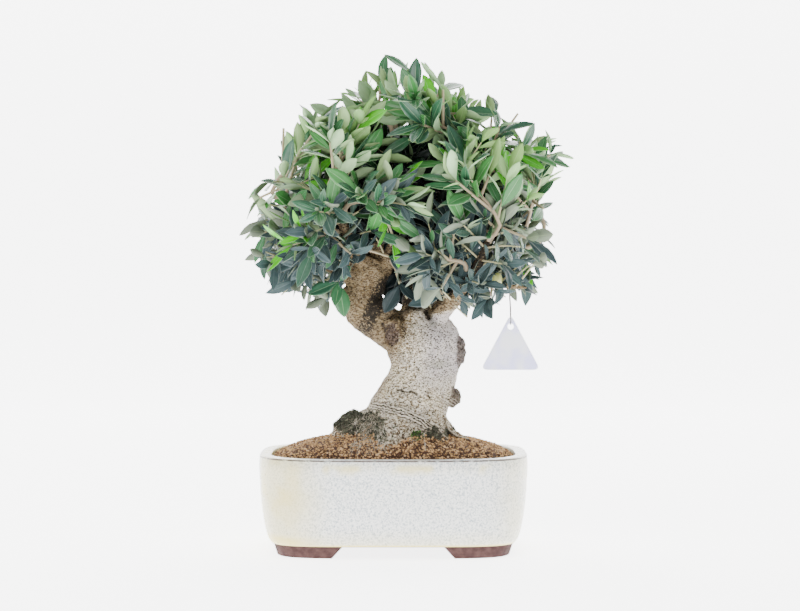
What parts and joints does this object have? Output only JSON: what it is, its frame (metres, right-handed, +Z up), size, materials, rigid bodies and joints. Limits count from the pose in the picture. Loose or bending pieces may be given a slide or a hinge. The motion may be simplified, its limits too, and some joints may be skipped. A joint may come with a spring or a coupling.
{
  "type": "olive bonsai",
  "caption": "Old olive tree grown as a bonsai, with a swollen leaning trunk, a dense round crown of narrow leaves and a tag, in a glazed pot on corner feet.",
  "frame": {"origin": "on the floor, under the middle of the whole plant's bounding box; the pot's own axis stands 10.6 mm to the left of it and 2.3 mm in front of it", "axes": "+X to the right along the pot's long side, +Y to the back, +Z up"},
  "size_m": [0.2796, 0.2564, 0.4135],
  "materials": {
    "glaze": "satin",
    "soil": "matte",
    "bark": "matte",
    "leaf_silver": "satin",
    "leaf_green": "satin",
    "leaf_shade": "satin",
    "screen": "matte",
    "tag": "satin",
    "string": "matte"
  },
  "bodies": {
    "root": {"pot": "glaze", "soil": "soil", "drain_screen_left": "screen", "drain_screen_right": "screen", "trunk": "bark", "tag": "tag", "tag_string": "string", "spray_01": "leaf_silver", "spray_02": "leaf_silver", "spray_03": "leaf_silver", "spray_04": "leaf_silver", "spray_05": "leaf_silver", "spray_06": "leaf_silver", "spray_07": "leaf_silver", "spray_08": "leaf_silver", "spray_09": "leaf_silver", "spray_10": "leaf_silver", "spray_11": "leaf_silver", "spray_12": "leaf_silver", "spray_13": "leaf_silver", "spray_14": "leaf_green", "spray_15": "leaf_green", "spray_16": "leaf_green", "spray_17": "leaf_green", "spray_18": "leaf_green", "spray_19": "leaf_green", "spray_20": "leaf_green", "spray_21": "leaf_green", "spray_22": "leaf_green", "spray_23": "leaf_shade", "spray_24": "leaf_shade", "spray_25": "leaf_shade", "spray_26": "leaf_shade", "spray_27": "leaf_shade"}
  },
  "joints": []
}
